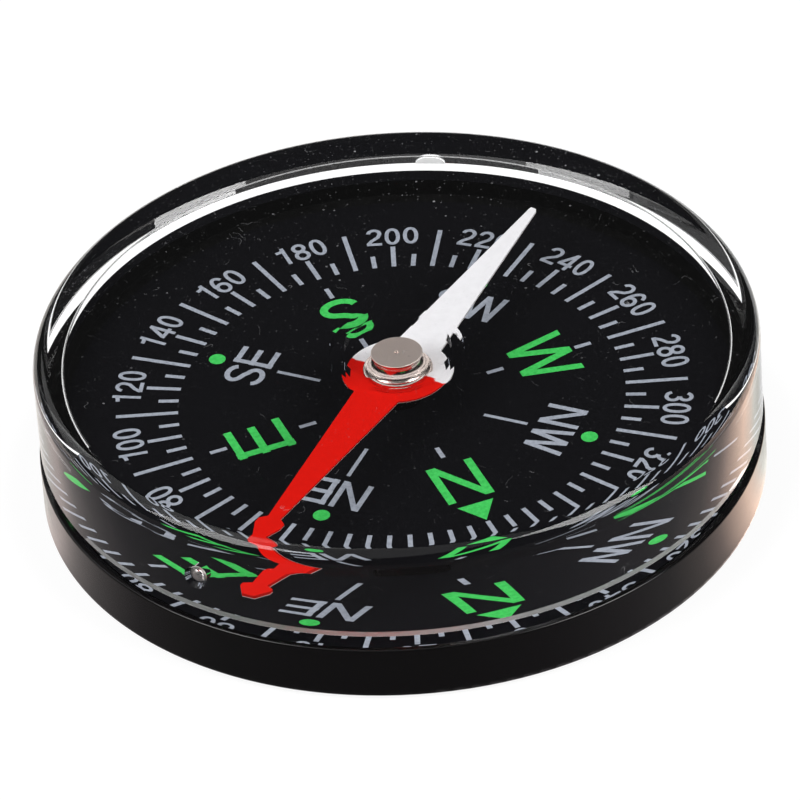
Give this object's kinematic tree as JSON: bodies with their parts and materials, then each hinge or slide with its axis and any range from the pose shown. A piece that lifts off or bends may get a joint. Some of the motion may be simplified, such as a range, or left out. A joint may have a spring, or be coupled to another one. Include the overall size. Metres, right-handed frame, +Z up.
{
  "type": "pocket compass",
  "caption": "Round liquid-filled pocket compass: thick clear cover let into a shallow black cup, printed degree dial and a needle turning on a steel point.",
  "frame": {"origin": "centre of the cup's flat underside, on the needle's axis", "axes": "+Z up out of the clear top; the needle turns about Z; +Y points away from the pictured viewpoint"},
  "size_m": [0.045, 0.045, 0.0107],
  "materials": {
    "black_plastic": "glossy black moulding with fine rub marks",
    "clear_plastic": "clear polished acrylic with light scratches and dust",
    "dial_print": "black printed plate with grey figures and green letters",
    "ball_steel": "polished steel ball",
    "pin_steel": "ground steel",
    "needle_paint": "smooth paint, red on the arrow arm and white on the plain arm",
    "nickel": "nickel-plated turned brass with fine lathe marks",
    "jewel_glass": "polished glass cup"
  },
  "bodies": {
    "case": {"base_cup": "black_plastic", "dial_plate": "dial_print", "clear_cover": "clear_plastic", "fill_ball": "ball_steel", "pivot_pin": "pin_steel"},
    "needle": {"needle_blade": "needle_paint", "bearing_cap": "nickel", "jewel": "jewel_glass"}
  },
  "joints": [
    {"name": "needle_spin", "type": "hinge", "parent": "case", "child": "needle", "pos_m": [0, 0, 0.00706], "axis": [0, 0, 1], "continuous": true}
  ]
}
